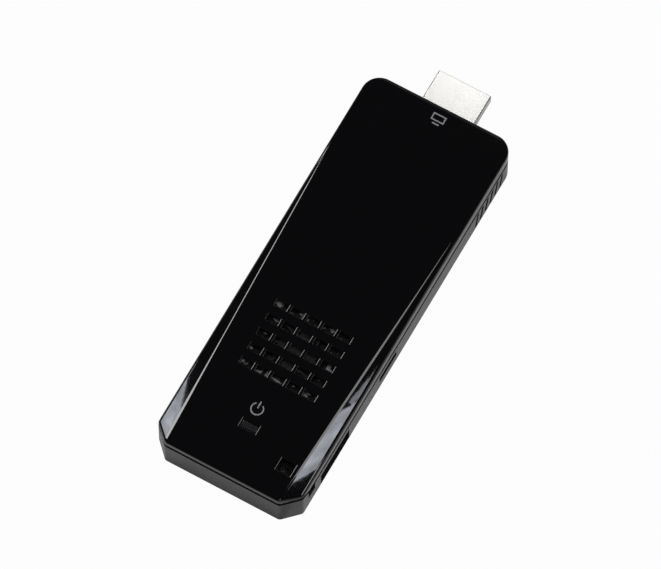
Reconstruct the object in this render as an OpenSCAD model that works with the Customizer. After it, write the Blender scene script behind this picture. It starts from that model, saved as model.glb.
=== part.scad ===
// Stick computer: a two-part snap-together casing round a board with a display plug, ports and a fan.
// X runs across the casing, +Y towards the plug and +Z up, in millimetres.
// Each piece is drawn with the tail at y = 0, and seat() then centres the whole length on the origin.

/* [Casing] */
// Width of the casing
body_w = 38; // [37:0.5:44]
// Length of the casing without the plug
body_l = 104; // [100:1:120]
// Height of the casing from underside to top panel
body_h = 12.2; // [12:0.1:15]
// Leg of the cut-off tail corners
tail_cut = 4; // [2:0.25:5]
// Radius of the corners at the plug end
nose_r = 4.5; // [2:0.25:6]
// Thickness of the side and end walls
wall = 1.2; // [1:0.05:1.5]
// Thickness of the case floor
floor_t = 1; // [0.8:0.05:1.3]
// Thickness of the cover's roof
roof_t = 1.2; // [0.8:0.05:1.4]
// Bevel round the underside
edge_break = 0.6; // [0.2:0.05:0.65]

/* [Seam] */
// Height of the seam along the sides and the plug end
seam_side_z = 8; // [7.6:0.1:8.6]
// Height of the seam across the tail
seam_tail_z = 9.7; // [9:0.1:10]
// Straight run past the cut corner before the seam steps down
seam_run = 0.5; // [0.2:0.1:1]
// Length of the slope between the two seam heights
seam_slope_l = 2.5; // [1:0.25:4]
// Height of the shadow groove between cover and case
seam_gap = 1.2; // [0.8:0.05:1.5]
// Depth of the shadow groove
seam_depth = 0.6; // [0.3:0.05:0.8]

/* [Top face] */
// Width of a side facet at the tail
facet_w = 4; // [2:0.25:5]
// Drop of a side facet at the tail
facet_drop = 1.25; // [0.5:0.05:1.5]
// Length over which a side facet runs out
facet_l = 99; // [60:1:110]
// Vent slots across the panel
vent_cols = 5; // [2:1:7]
// Vent slots along the panel
vent_rows = 5; // [2:1:7]
// Width of a vent slot
vent_w = 3; // [1.5:0.1:3.6]
// Length of a vent slot
vent_l = 1.4; // [0.8:0.1:2.5]
// Spacing of the vent slots across
vent_pitch_x = 4.14; // [3.9:0.02:5]
// Spacing of the vent slots along
vent_pitch_y = 4.1; // [3:0.02:5]
// Middle of the vent grid, from the tail
vent_y = 34.25; // [33.5:0.25:37]
// Width of the lamp window
led_w = 3.9; // [2:0.1:6]
// Length of the lamp window
led_l = 1.7; // [1:0.1:3]
// Middle of the lamp window, from the tail
led_y = 12.8; // [8:0.1:16]
// Width of the strap slot
strap_w = 3.5; // [2:0.1:4.5]
// Length of the strap slot and of its notch in the side wall
strap_l = 2.9; // [1.5:0.1:3.4]
// Middle of the strap slot, from the right side of the casing
strap_x = 6.75; // [5.5:0.05:8]
// Middle of the strap slot, from the tail
strap_y = 8.1; // [7.6:0.1:8.8]
// Bottom of the strap notch in the side wall
strap_z = 4.45; // [3.5:0.05:6]

/* [Snap hooks] */
// First hook on the right side, from the tail
hook_right_y = 32; // [29:0.5:36]
// First hook on the left side, from the tail
hook_left_y = 28; // [25:0.5:46]
// Second hook on each side, from the tail
hook_far_y = 68; // [56:0.5:80]
// Width of a hook
hook_w = 5; // [3:0.5:7]
// Thickness of a hook
hook_t = 1; // [0.6:0.1:1.4]
// Reach of a hook's nose into the case wall
hook_nose = 0.6; // [0.3:0.05:0.7]
// Depth of the nose below the seam
hook_drop = 1.6; // [1.4:0.1:2]

/* [Display plug] */
// Width of the plug's shell
plug_w = 13.9; // [13.5:0.1:14.5]
// Height of the plug's shell
plug_h = 4.45; // [4.2:0.05:4.7]
// Width of the plug's narrow side
plug_low_w = 11.2; // [10:0.1:12.5]
// Height of the plug's straight flanks
plug_flank_h = 2.8; // [2:0.1:3.4]
// Length of the plug outside the casing
plug_out = 10.5; // [9:0.1:13]
// Thickness of the plug's shell
plug_shell_t = 0.3; // [0.2:0.02:0.4]
// Width of the cavity that takes the socket's tongue
plug_slot_w = 11.6; // [10.5:0.1:12]
// Contacts in the plug's upper row, one fewer below
plug_contacts = 10; // [6:1:10]
// Spacing of the plug's contacts
plug_pitch = 1; // [0.9:0.05:1.1]

/* [USB port] */
// Middle of the port, from the tail
usb_y = 18.95; // [18.5:0.05:20]
// Width inside the port's shell
usb_w = 12.5; // [12:0.1:13]
// Height inside the port's shell
usb_h = 5.12; // [4.8:0.02:5.3]
// Depth of the port's shell
usb_depth = 14; // [11:0.5:14.5]
// Thickness of the port's shell
usb_shell_t = 0.3; // [0.2:0.02:0.35]
// Floor left under the port's shell
usb_skin = 0.4; // [0.3:0.05:0.6]
// Width of the opening in the case wall
usb_open_w = 13.1; // [12.5:0.1:13.5]
// Height of the opening in the case wall
usb_open_h = 4.95; // [4.6:0.05:5.1]
// Thickness of the port's tongue
usb_tongue_t = 1.84; // [1.5:0.02:2]
// Reach of the shell's solder ears over the board
usb_ear = 1.8; // [1:0.1:2.2]

/* [Micro USB port] */
// Middle of the port, from the tail
micro_y = 43.7; // [42:0.1:46]
// Width of the port's shell
micro_w = 7.5; // [7:0.1:8]
// Height of the port's shell
micro_h = 2.55; // [2.3:0.05:2.8]
// Depth of the port's shell
micro_depth = 5.2; // [4:0.1:5.6]
// Thickness of the port's shell
micro_shell_t = 0.25; // [0.15:0.01:0.3]
// Cut at the shell's lower corners
micro_cut = 0.8; // [0.4:0.1:1.2]
// Width of the opening in the case wall
micro_open_w = 7.8; // [7:0.1:9]
// Height of the opening in the case wall
micro_open_h = 2.3; // [1.8:0.05:3]

/* [Card slot] */
// Middle of the slot, from the tail
card_y = 38; // [36:0.5:41]
// Width of the slot
card_w = 11.6; // [11.2:0.1:12.5]
// Height of the slot
card_h = 0.95; // [0.8:0.05:1.1]
// Depth of the slot
card_depth = 13; // [11:0.5:15]
// Thickness of the socket's shell
card_shell_t = 0.25; // [0.15:0.01:0.3]

/* [Power button] */
// Middle of the button, from the tail
button_y = 17; // [15:0.5:20]
// Width of the button
button_w = 7; // [5:0.1:9]
// Height of the button
button_h = 2.4; // [1.8:0.1:2.8]
// Middle of the button above the board
button_rise = 1.75; // [1.6:0.05:2.2]
// Travel of the button
button_travel = 0.3; // [0.2:0.05:0.5]
// Thickness of the button's inner flange
button_flange_t = 0.6; // [0.4:0.05:0.8]
// Reach of the flange past the button's ends
button_flange = 1; // [0.5:0.1:1.5]
// Width of the switch
switch_w = 6; // [5:0.1:7]
// Depth of the switch
switch_l = 3.5; // [3:0.1:4.5]
// Width of the switch's plunger
plunger_w = 2.6; // [1.5:0.1:3.5]
// Height of the switch's plunger
plunger_h = 1.2; // [0.8:0.1:1.6]
// Length of the plunger inside the switch
plunger_in = 0.8; // [0.5:0.1:1.2]

/* [Side vents] */
// Slots in each side wall
side_vents = 6; // [2:1:8]
// Spacing of the slots
side_pitch = 2.3; // [1.8:0.1:3]
// Width of a slot
side_vent_w = 0.9; // [0.5:0.05:1.2]
// Middle of the last slot, from the plug end
side_vent_end = 6.6; // [6:0.1:10]
// Lean of the slots towards the plug end
side_lean = 12; // [0:1:20]
// Gap between the slots and the seam
side_vent_top = 0.75; // [0.5:0.05:1.5]
// Bottom of the slots above the floor
side_vent_foot = 0.6; // [0.2:0.1:1.5]

/* [Board] */
// Thickness of the board
board_t = 0.9; // [0.8:0.05:1]
// Gap between the board's edge and the walls
board_gap = 0.5; // [0.3:0.05:0.8]
// Gap between the board and the end wall
board_end = 5.8; // [5:0.1:7]
// Radius of the screws' shanks
screw_r = 0.7; // [0.5:0.05:0.8]
// Radius of the screws' heads
screw_head_r = 1.5; // [1.2:0.05:1.8]
// Height of the screws' heads
screw_head_h = 0.7; // [0.5:0.05:1]
// Radius of the screw bosses
boss_r = 2; // [1.6:0.1:2.2]
// Inset of the screws from the inner walls
screw_inset = 3.2; // [2.8:0.1:4]
// Inset of the last screws from the board's end
screw_end = 4; // [3:0.1:5]

/* [Chips] */
// Side of the processor
processor_w = 17; // [14:0.5:17]
// Height of the processor
processor_h = 1; // [0.8:0.05:1.3]
// Gap between the heat sink's legs and the memory chips
memory_gap = 0.8; // [0.5:0.1:2.5]
// Width of a memory chip
memory_w = 6; // [5:0.1:6.4]
// Length of a memory chip
memory_l = 9; // [7:0.1:9.5]
// Height of the flat chips
chip_h = 0.9; // [0.7:0.05:1.2]
// Width of the storage chip
storage_w = 11.5; // [10:0.1:12]
// Length of the storage chip
storage_l = 13; // [11:0.1:13]
// Side of the power chip
power_chip_w = 5; // [4:0.1:6]
// Side of the radio module
wifi_w = 12; // [10:0.1:12.5]
// Height of the radio module
wifi_h = 2; // [1.5:0.1:2.4]
// Gap between the radio module and the screw beside it
wifi_gap = 1.1; // [0.9:0.1:2]
// Length of the chip antenna
antenna_w = 8; // [5:0.1:10]
// Space between parts on the board
chip_space = 0.8; // [0.5:0.1:1]
// Side of an inductor
coil_w = 4; // [3:0.1:4.5]
// Height of an inductor
coil_h = 2; // [1.5:0.1:2.4]

/* [Cooling] */
// Thickness of the pad on the processor
pad_t = 0.5; // [0.3:0.05:0.8]
// Gap between the heat sink's base and the side walls
sink_side = 3.8; // [3.8:0.1:6]
// Thickness of the heat sink's base
sink_base_t = 1.2; // [0.8:0.05:1.6]
// Gap between the fan's outlet and the heat sink
sink_gap = 1.5; // [1:0.1:2]
// Gap between the heat sink and the board's end
sink_end = 5; // [3.5:0.1:8]
// Radius of the heat sink's legs
sink_leg_r = 1.6; // [1.3:0.1:1.8]
// Gap between the micro USB port and the heat sink's leg
sink_leg_gap = 1.9; // [1.5:0.1:2.4]
// Fins on the heat sink
fins = 13; // [7:1:15]
// Thickness of a fin
fin_t = 0.6; // [0.4:0.05:0.8]
// Gap between the fan's housing and the micro USB port
fan_side = 0.5; // [0.3:0.1:1.2]
// Thickness of the fan's floor
fan_floor_t = 0.6; // [0.4:0.05:0.8]
// Thickness of the fan's cover plate
fan_cover_t = 0.5; // [0.3:0.05:0.7]
// Thickness of the fan's side walls
fan_wall = 1.2; // [0.8:0.1:1.4]
// Radius of the fan's inlet
fan_inlet_r = 8; // [6:0.1:9]
// Gap between the rotor's blades and the housing
rotor_gap = 1.2; // [0.6:0.1:2]
// Radius of the rotor's hub
hub_r = 4.8; // [4.8:0.1:5.6]
// Thickness of the hub's wall and top
hub_t = 0.6; // [0.4:0.05:0.7]
// Blades on the rotor
blades = 15; // [7:1:19]
// Thickness of a blade
blade_t = 0.5; // [0.4:0.05:0.7]
// Sweep of a blade from the radius
blade_sweep = 35; // [0:1:45]
// Radius of the rotor's shaft
shaft_r = 0.75; // [0.5:0.05:0.8]
// Running gap between shaft and bushing
shaft_gap = 0.03; // [0.02:0.01:0.08]
// Radius of the bushing
bushing_r = 1.5; // [1.4:0.05:1.6]
// Radius of the post round the bushing
post_r = 2.2; // [2:0.05:2.3]
// Thickness of the rotor's magnet ring
magnet_t = 0.4; // [0.3:0.05:0.5]
// Legs under the fan
fan_leg_r = 1.3; // [1:0.1:1.5]

/* [Fits] */
// Gap round pieces that pass through an opening
fit_gap = 0.1; // [0.05:0.01:0.15]
// Gap between pieces that seat in each other
seat_gap = 0.02; // [0.01:0.01:0.04]
// Gap between a moving piece and what stands beside it
run_gap = 0.3; // [0.2:0.05:0.4]

/* [Hidden] */
$fn = 64;

over = 1; // how far a cutter runs past what it cuts
half_w = body_w / 2;
inner_w = half_w - wall;
overall_l = body_l + plug_out;
roof_z = body_h - roof_t;
case_top_side = seam_side_z - seam_gap / 2;
case_top_tail = seam_tail_z - seam_gap / 2;
slope_y0 = tail_cut + seam_run;
slope_y1 = slope_y0 + seam_slope_l;

// Facet angles: the crease runs in towards the tail, and the facet leans outwards from it
facet_turn = atan(facet_w / facet_l);
facet_tilt = atan(facet_drop / (facet_w * cos(facet_turn)));

// Heights from the floor up
card_socket_h = card_h + 2 * card_shell_t;
card_lift = 0.1;
board_z0 = floor_t + card_lift + card_socket_h;
board_z1 = board_z0 + board_t;
plug_z = (board_z0 + board_z1) / 2;
sink_z0 = board_z1 + processor_h + pad_t;
sink_z1 = sink_z0 + sink_base_t;
usb_out_w = usb_w + 2 * usb_shell_t;
usb_out_h = usb_h + 2 * usb_shell_t;
usb_z = usb_skin + usb_out_h / 2;
fan_z0 = usb_skin + usb_out_h + run_gap;
fan_z1 = roof_z - run_gap - fan_cover_t;
fin_z = roof_z - 2 * run_gap;
rotor_z0 = fan_z0 + fan_floor_t + run_gap;
rotor_z1 = fan_z1 - run_gap;
hub_top_z = rotor_z1 - hub_t;

// Places along the casing
board_y1 = body_l - wall - board_end;
usb_x1 = inner_w - fit_gap;
usb_x0 = usb_x1 - usb_depth;
micro_x1 = inner_w - fit_gap;
micro_x0 = micro_x1 - micro_depth;
micro_z = board_z1 + micro_h / 2;
card_x0 = -(inner_w - fit_gap);
card_x1 = card_x0 + card_depth + card_shell_t;
strap_mid_x = half_w - strap_x;
button_z = board_z1 + button_rise;
button_x1 = -inner_w + fit_gap + button_flange_t;
switch_x0 = button_x1 + button_travel + run_gap;
fan_w = 2 * (micro_x0 - fan_side);
fan_y = vent_y;
fan_y0 = fan_y - fan_w / 2;
fan_y1 = fan_y + fan_w / 2;
sink_y0 = max(fan_y1 + sink_gap, micro_y + micro_w / 2 + run_gap);
sink_y1 = board_y1 - sink_end;
sink_w = 2 * (inner_w - sink_side);
sink_screw_x = sink_w / 2 + screw_head_r + fit_gap;
sink_screw_y = micro_y + micro_w / 2 + sink_leg_gap + sink_leg_r;
screw_x = inner_w - screw_inset;
screw_places = [
  [-screw_x, usb_y + usb_out_w / 2 + chip_space],
  [screw_x, micro_y - micro_w / 2 - 2 * boss_r],
  [-screw_x, board_y1 - screw_end],
  [screw_x, board_y1 - screw_end]
];
sink_screw_places = [[-sink_screw_x, sink_screw_y], [sink_screw_x, sink_screw_y]];
fan_leg_x = fan_w / 2 - fan_leg_r;
fan_leg_places = [
  [-fan_leg_x, fan_y0 + fan_leg_r],
  [-fan_leg_x, fan_y1 - fan_leg_r],
  [fan_leg_x, fan_y1 - fan_leg_r]
];
processor_y = sink_screw_y + sink_leg_r + memory_gap + memory_l / 2;
memory_x = processor_w / 2 + chip_space + memory_w / 2;
memory_far_y = processor_y + memory_l + 2 * chip_space;
cap_size = [1, 1.6, 0.8];
cap_pitch = 2.2;
cap_row_y = processor_y + processor_w / 2 + chip_space + cap_size[1] / 2;
plug_on_board = 2.8;
storage_y = board_y1 - plug_on_board - chip_space - storage_l / 2;

// Centre the length on the origin
module seat() {
  translate([0, -overall_l / 2, 0]) children();
}

// Box between two corners
module block(low, high) {
  translate(low) cube(high - low);
}

// Casing outline drawn d inside the outer wall: cut corners at the tail, round corners at the plug end
module plan(d) {
  k = d * (sqrt(2) - 1);
  side = half_w - d;
  polygon([
    [tail_cut + k - half_w, d], [half_w - tail_cut - k, d], [side, tail_cut + k],
    [side, body_l - nose_r], [-side, body_l - nose_r], [-side, tail_cut + k]
  ]);
  translate([nose_r - half_w, body_l / 2]) square([body_w - 2 * nose_r, body_l / 2 - d]);
  for (s = [-1, 1])
    translate([s * (half_w - nose_r), body_l - nose_r]) circle(nose_r - d);
}

module slab(d, z0, z1) {
  translate([0, 0, z0]) linear_extrude(z1 - z0) plan(d);
}

// Profile in Y and Z, carried across the whole width
module across() {
  rotate([90, 0, 90])
    translate([0, 0, -half_w - over]) linear_extrude(body_w + 2 * over) children();
}

// Profile in X and Z, carried from y0 to y1
module along(y0, y1) {
  translate([0, y1, 0]) rotate([90, 0, 0]) linear_extrude(y1 - y0) children();
}

// Everything below the stepped seam, moved by shift
module below_seam(shift) {
  across() polygon([
    [-over, -over], [body_l + over, -over], [body_l + over, seam_side_z + shift],
    [slope_y1, seam_side_z + shift], [slope_y0, seam_tail_z + shift], [-over, seam_tail_z + shift]
  ]);
}

// What the two side facets take off the top
module facet_cuts() {
  for (s = [0, 1])
    mirror([s, 0, 0])
      translate([half_w - facet_w, 0, body_h]) rotate([0, 0, -facet_turn]) rotate([0, facet_tilt, 0])
        translate([-over, -2 * facet_w, 0])
          cube([3 * facet_w, facet_l + 4 * facet_w, 3 * facet_drop]);
}

// Bevel round the underside: straight edges, then the two round corners
module underside_bevel() {
  side = edge_break * sqrt(2);
  edges = [
    [half_w, body_l / 2, 0], [-half_w, body_l / 2, 0], [0, 0, 90], [0, body_l, 90],
    [half_w - tail_cut / 2, tail_cut / 2, -45], [tail_cut / 2 - half_w, tail_cut / 2, 45]
  ];
  for (e = edges)
    translate([e[0], e[1], 0]) rotate([0, 0, e[2]]) rotate([0, 45, 0])
      cube([side, 2 * body_l, side], center = true);
  for (s = [0, 1])
    mirror([s, 0, 0]) translate([half_w - nose_r, body_l - nose_r, 0])
      rotate_extrude(angle = 90) translate([nose_r, 0]) rotate(45) square(side, center = true);
}

// Round-ended bar standing in the Y and Z plane, of width w, height h and thickness t along X
module pill(w, h, t) {
  translate([0, h / 2 - w / 2, -h / 2]) cube([t, w - h, h]);
  for (s = [-1, 1])
    translate([0, s * (w - h) / 2, 0]) rotate([0, 90, 0]) cylinder(h = t, r = h / 2);
}

// Display plug outline, drawn d inside the shell's outer face
module plug_outline(d) {
  w = plug_w / 2;
  h = plug_h / 2;
  low = plug_low_w / 2;
  flank = h - plug_flank_h;
  lean = atan((w - low) / (flank + h));
  flank_d = flank + d * tan(lean / 2);
  low_d = low - d * tan((90 - lean) / 2);
  polygon([
    [w - d, h - d], [w - d, flank_d], [low_d, d - h],
    [-low_d, d - h], [d - w, flank_d], [d - w, h - d]
  ]);
}

// Micro USB outline, drawn d inside the shell's outer face, with cut lower corners
module micro_outline(d) {
  w = micro_w / 2;
  h = micro_h / 2;
  k = d * (sqrt(2) - 1);
  polygon([
    [w - d, h - d], [w - d, micro_cut + k - h], [w - micro_cut - k, d - h],
    [micro_cut + k - w, d - h], [d - w, micro_cut + k - h], [d - w, h - d]
  ]);
}

// Micro USB profile carried along X
module micro_bar(d, x0, x1) {
  translate([x0, micro_y, micro_z]) rotate([90, 0, 90]) linear_extrude(x1 - x0) micro_outline(d);
}

// Hook for the right wall: a tab under the roof with a nose that slopes in from below
module snap_hook(y) {
  z = seam_side_z - hook_drop;
  x = inner_w - fit_gap;
  block([x - hook_t, y - hook_w / 2, z - hook_nose], [x, y + hook_w / 2, roof_z]);
  along(y - hook_w / 2, y + hook_w / 2)
    polygon([[x - over / 2, z - hook_nose], [x, z - hook_nose], [x + hook_nose, z], [x - over / 2, z]]);
}

module hook_pocket(y) {
  z = seam_side_z - hook_drop;
  block([inner_w - over, y - hook_w / 2 - fit_gap, z - hook_nose - fit_gap],
    [inner_w + hook_nose, y + hook_w / 2 + fit_gap, z + fit_gap]);
}

module side_vent_cuts() {
  z0 = floor_t + side_vent_foot;
  z1 = case_top_side - side_vent_top;
  across() for (i = [0 : side_vents - 1])
    translate([body_l - side_vent_end - i * side_pitch, (z0 + z1) / 2]) rotate(-side_lean)
      square([side_vent_w, (z1 - z0) / cos(side_lean)], center = true);
}

// Tray of the casing with its ports, screw bosses and strap pocket
module bottom_case() {
  strap_low_y = strap_y - strap_l / 2;
  strap_high_y = strap_y + strap_l / 2;
  strap_low_x = strap_mid_x - strap_w / 2;
  color([0.13, 0.13, 0.14]) seat() difference() {
    union() {
      difference() {
        intersection() {
          slab(0, 0, body_h);
          below_seam(-seam_gap / 2);
        }
        slab(wall, floor_t, body_h + over);
      }
      intersection() {
        difference() {
          slab(seam_depth, floor_t, body_h);
          slab(wall, 0, body_h + over);
        }
        below_seam(seam_gap / 2);
      }
      for (p = concat(screw_places, sink_screw_places))
        translate([p[0], p[1], floor_t / 2]) cylinder(h = board_z0 - floor_t / 2, r = boss_r);
      block([strap_low_x - wall, strap_low_y - wall, floor_t / 2],
        [inner_w + wall / 2, strap_high_y + wall, case_top_side]);
    }
    underside_bevel();
    for (p = concat(screw_places, sink_screw_places))
      translate([p[0], p[1], floor_t]) cylinder(h = body_h, r = screw_r + seat_gap);
    block([strap_low_x, strap_low_y, strap_z],
      [half_w + over, strap_high_y, case_top_side + seam_gap + over]);
    translate([0, 0, plug_z]) along(board_y1 - fit_gap, body_l + over) plug_outline(-fit_gap);
    block([usb_x0 - fit_gap, usb_y - usb_out_w / 2 - fit_gap, usb_skin],
      [inner_w, usb_y + usb_out_w / 2 + fit_gap, floor_t + over]);
    block([inner_w - over, usb_y - usb_open_w / 2, usb_skin + usb_shell_t],
      [half_w + over, usb_y + usb_open_w / 2, usb_skin + usb_shell_t + usb_open_h]);
    block([inner_w - over, micro_y - micro_open_w / 2, micro_z - micro_open_h / 2],
      [half_w + over, micro_y + micro_open_w / 2, micro_z + micro_open_h / 2]);
    block([-half_w - over, card_y - card_w / 2, board_z0 - card_shell_t - card_h],
      [over - inner_w, card_y + card_w / 2, board_z0 - card_shell_t]);
    translate([-half_w - over, button_y, button_z])
      pill(button_w + 2 * fit_gap, button_h + 2 * fit_gap, wall + 2 * over);
    for (y = [hook_right_y, hook_far_y]) hook_pocket(y);
    for (y = [hook_left_y, hook_far_y]) mirror([1, 0, 0]) hook_pocket(y);
    difference() {
      side_vent_cuts();
      slab(wall, 0, body_h);
    }
  }
}

// Printed circuit board, notched round the USB port
module main_board() {
  color([0.06, 0.28, 0.16]) seat() translate([0, 0, board_z0]) linear_extrude(board_t) difference() {
    intersection() {
      plan(wall + board_gap);
      translate([-half_w, 0]) square([body_w, board_y1]);
    }
    translate([usb_x0 - run_gap, -over]) square([body_w, usb_y + usb_out_w / 2 + run_gap + over]);
    for (p = concat(screw_places, sink_screw_places)) translate(p) circle(screw_r + fit_gap);
  }
}

// Screw with a cross recess, its head seated at z
module screw(p, z) {
  recess = screw_head_r * 0.9;
  slot = screw_head_r / 4;
  translate([p[0], p[1], 0]) difference() {
    union() {
      translate([0, 0, z]) cylinder(h = screw_head_h, r = screw_head_r);
      translate([0, 0, floor_t + seat_gap]) cylinder(h = z - floor_t, r = screw_r);
    }
    for (a = [0, 90])
      translate([0, 0, z + screw_head_h]) rotate(a) cube([recess, slot, screw_head_h], center = true);
  }
}

module board_screws() {
  color([0.72, 0.72, 0.74]) seat() for (p = screw_places) screw(p, board_z1);
}

// Sheet metal shell of the display plug, with two latch windows in its underside
module hdmi_shell() {
  window_w = 1.8;
  window_l = 2.4;
  window_from_tip = 4.2;
  window_x = plug_w / 4;
  color([0.8, 0.8, 0.8]) seat() difference() {
    translate([0, 0, plug_z]) along(board_y1 + run_gap, overall_l) difference() {
      plug_outline(0);
      plug_outline(plug_shell_t);
    }
    for (s = [-1, 1])
      block([s * window_x - window_w / 2, overall_l - window_from_tip - window_l, plug_z - plug_h],
        [s * window_x + window_w / 2, overall_l - window_from_tip, plug_z - plug_h / 4]);
  }
}

// Plastic core of the plug, hollow for the socket's tongue and notched by the board's edge
plug_contact_t = 0.15;
plug_slot_h = board_t + 2 * plug_contact_t;
module hdmi_insulator() {
  tip_step = 0.8;
  color([0.12, 0.12, 0.12]) seat() difference() {
    translate([0, 0, plug_z]) along(board_y1, overall_l - tip_step) plug_outline(plug_shell_t + seat_gap);
    block([-plug_slot_w / 2, board_y1 - over, plug_z - plug_slot_h / 2],
      [plug_slot_w / 2, overall_l, plug_z + plug_slot_h / 2]);
  }
}

// Straight contacts that lie on the board's faces and on the walls of the plug's cavity
module hdmi_contacts() {
  contact_w = plug_pitch / 2;
  back_from_tip = 1.6;
  color([0.85, 0.68, 0.32]) seat() for (row = [0, 1]) {
    count = plug_contacts - row;
    z = row == 0 ? board_z1 : board_z0 - plug_contact_t;
    for (i = [0 : count - 1])
      translate([(i - (count - 1) / 2) * plug_pitch - contact_w / 2, board_y1 - plug_on_board, z])
        cube([contact_w, overall_l - back_from_tip - board_y1 + plug_on_board, plug_contact_t]);
  }
}

// Shell of the USB port, sunk through the board's notch, with two ears soldered to the board
module usb_a_shell() {
  ear_w = 2;
  ear_y = usb_y + usb_out_w / 2;
  color([0.75, 0.75, 0.77]) seat() union() {
    difference() {
      block([usb_x0, usb_y - usb_out_w / 2, usb_skin], [usb_x1, ear_y, usb_skin + usb_out_h]);
      block([usb_x0 + usb_shell_t, usb_y - usb_w / 2, usb_skin + usb_shell_t],
        [usb_x1 + over, usb_y + usb_w / 2, usb_skin + usb_shell_t + usb_h]);
    }
    for (x = [usb_x0 + usb_depth / 3, usb_x0 + 2 * usb_depth / 3])
      block([x - ear_w / 2, ear_y - usb_shell_t, board_z1],
        [x + ear_w / 2, ear_y + usb_ear, board_z1 + usb_shell_t]);
  }
}

// Plastic back and tongue of the USB port
usb_back = 2;
usb_tongue_lift = 0.36;
usb_tongue_z = usb_z + usb_tongue_lift;
usb_tongue_w = 11.1;
usb_tongue_set = 1.2;
module usb_a_tongue() {
  x0 = usb_x0 + usb_shell_t;
  color([0.1, 0.1, 0.1]) seat() union() {
    block([x0, usb_y - usb_w / 2 + seat_gap, usb_z - usb_h / 2 + seat_gap],
      [x0 + usb_back, usb_y + usb_w / 2 - seat_gap, usb_z + usb_h / 2 - seat_gap]);
    block([x0 + usb_back - over, usb_y - usb_tongue_w / 2, usb_tongue_z],
      [usb_x1 - usb_tongue_set, usb_y + usb_tongue_w / 2, usb_tongue_z + usb_tongue_t]);
  }
}

// Four contact strips under the USB port's tongue
module usb_a_contacts() {
  contact_w = 1;
  contact_t = 0.15;
  near_x = 1;
  far_x = 3.5;
  color([0.85, 0.68, 0.32]) seat() for (c = [-far_x, -near_x, near_x, far_x])
    block([usb_x0 + usb_shell_t + usb_back, usb_y + c - contact_w / 2, usb_tongue_z - contact_t],
      [usb_x1 - usb_tongue_set - over, usb_y + c + contact_w / 2, usb_tongue_z]);
}

// Shell of the micro USB port, standing on the board
module micro_usb_shell() {
  color([0.75, 0.75, 0.77]) seat() difference() {
    micro_bar(0, micro_x0, micro_x1);
    micro_bar(micro_shell_t, micro_x0 + micro_shell_t, micro_x1 + over);
  }
}

// Plastic back and thin tongue of the micro USB port
micro_back = 1.2;
micro_tongue_w = 3.9;
micro_tongue_t = 0.6;
micro_tongue_set = 0.8;
module micro_usb_tongue() {
  x0 = micro_x0 + micro_shell_t;
  color([0.1, 0.1, 0.1]) seat() union() {
    micro_bar(micro_shell_t + seat_gap, x0, x0 + micro_back);
    block([x0, micro_y - micro_tongue_w / 2, micro_z],
      [micro_x1 - micro_tongue_set, micro_y + micro_tongue_w / 2, micro_z + micro_tongue_t]);
  }
}

// Five contact strips under the micro USB port's tongue
module micro_usb_contacts() {
  pitch = 0.65;
  contact_w = 0.35;
  contact_t = 0.12;
  color([0.85, 0.68, 0.32]) seat() for (i = [-2 : 2])
    block([micro_x0 + micro_shell_t + micro_back, micro_y + i * pitch - contact_w / 2, micro_z - contact_t],
      [micro_x1 - micro_tongue_set - micro_shell_t, micro_y + i * pitch + contact_w / 2, micro_z]);
}

// Sheet metal socket for a memory card, soldered under the board and open to the left wall
card_socket_w = card_w + 2 * card_shell_t;
module microsd_socket() {
  color([0.75, 0.75, 0.77]) seat() difference() {
    block([card_x0, card_y - card_socket_w / 2, board_z0 - card_socket_h],
      [card_x1, card_y + card_socket_w / 2, board_z0]);
    block([card_x0 - over, card_y - card_w / 2, board_z0 - card_shell_t - card_h],
      [card_x1 - card_shell_t, card_y + card_w / 2, board_z0 - card_shell_t]);
  }
}

// Eight spring contacts at the back of the card socket
module microsd_contacts() {
  pitch = 1.1;
  contact_w = 0.6;
  contact_l = 4;
  contact_t = 0.15;
  color([0.85, 0.68, 0.32]) seat() for (i = [0 : 7])
    translate([card_x1 - card_shell_t - contact_l, card_y + (i - 3.5) * pitch - contact_w / 2,
      board_z0 - card_shell_t - contact_t]) cube([contact_l, contact_w, contact_t]);
}

// Push switch on the board, hollow for its plunger
module power_switch() {
  room = plunger_in + button_travel + fit_gap;
  top = button_z + button_h / 2;
  color([0.2, 0.2, 0.22]) seat() difference() {
    block([switch_x0, button_y - switch_w / 2, board_z1],
      [switch_x0 + switch_l, button_y + switch_w / 2, top]);
    translate([switch_x0 + room / 2 - over / 2, button_y, button_z])
      cube([room + over, plunger_w + 2 * fit_gap, plunger_h + 2 * fit_gap], center = true);
  }
}

// Plunger that the button drives into the switch
module switch_plunger() {
  color([0.85, 0.85, 0.82]) seat()
    block([button_x1, button_y - plunger_w / 2, button_z - plunger_h / 2],
      [switch_x0 + plunger_in, button_y + plunger_w / 2, button_z + plunger_h / 2]);
}

// Power button in the left wall, kept in by its flange
module power_button() {
  color([0.1, 0.1, 0.11]) seat() union() {
    translate([-half_w, button_y, button_z]) pill(button_w, button_h, button_x1 + half_w);
    block([button_x1 - button_flange_t, button_y - button_w / 2 - button_flange, button_z - button_h / 2],
      [button_x1, button_y + button_w / 2 + button_flange, button_z + button_h / 2]);
  }
}

// Flat part on the board's top face, centred at x, y
module on_board(x, y, size) {
  translate([x - size[0] / 2, y - size[1] / 2, board_z1]) cube(size);
}

led_chip_size = [1.6, 0.8, 0.6];
module led_chip() {
  color([0.95, 0.95, 0.85]) seat() on_board(0, led_y, led_chip_size);
}

module processor() {
  color([0.16, 0.18, 0.2]) seat() on_board(0, processor_y, [processor_w, processor_w, processor_h]);
}

module thermal_pad() {
  pad_inset = 1;
  pad_w = processor_w - 2 * pad_inset;
  color([0.55, 0.6, 0.66]) seat()
    translate([-pad_w / 2, processor_y - pad_w / 2, board_z1 + processor_h]) cube([pad_w, pad_w, pad_t]);
}

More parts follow.
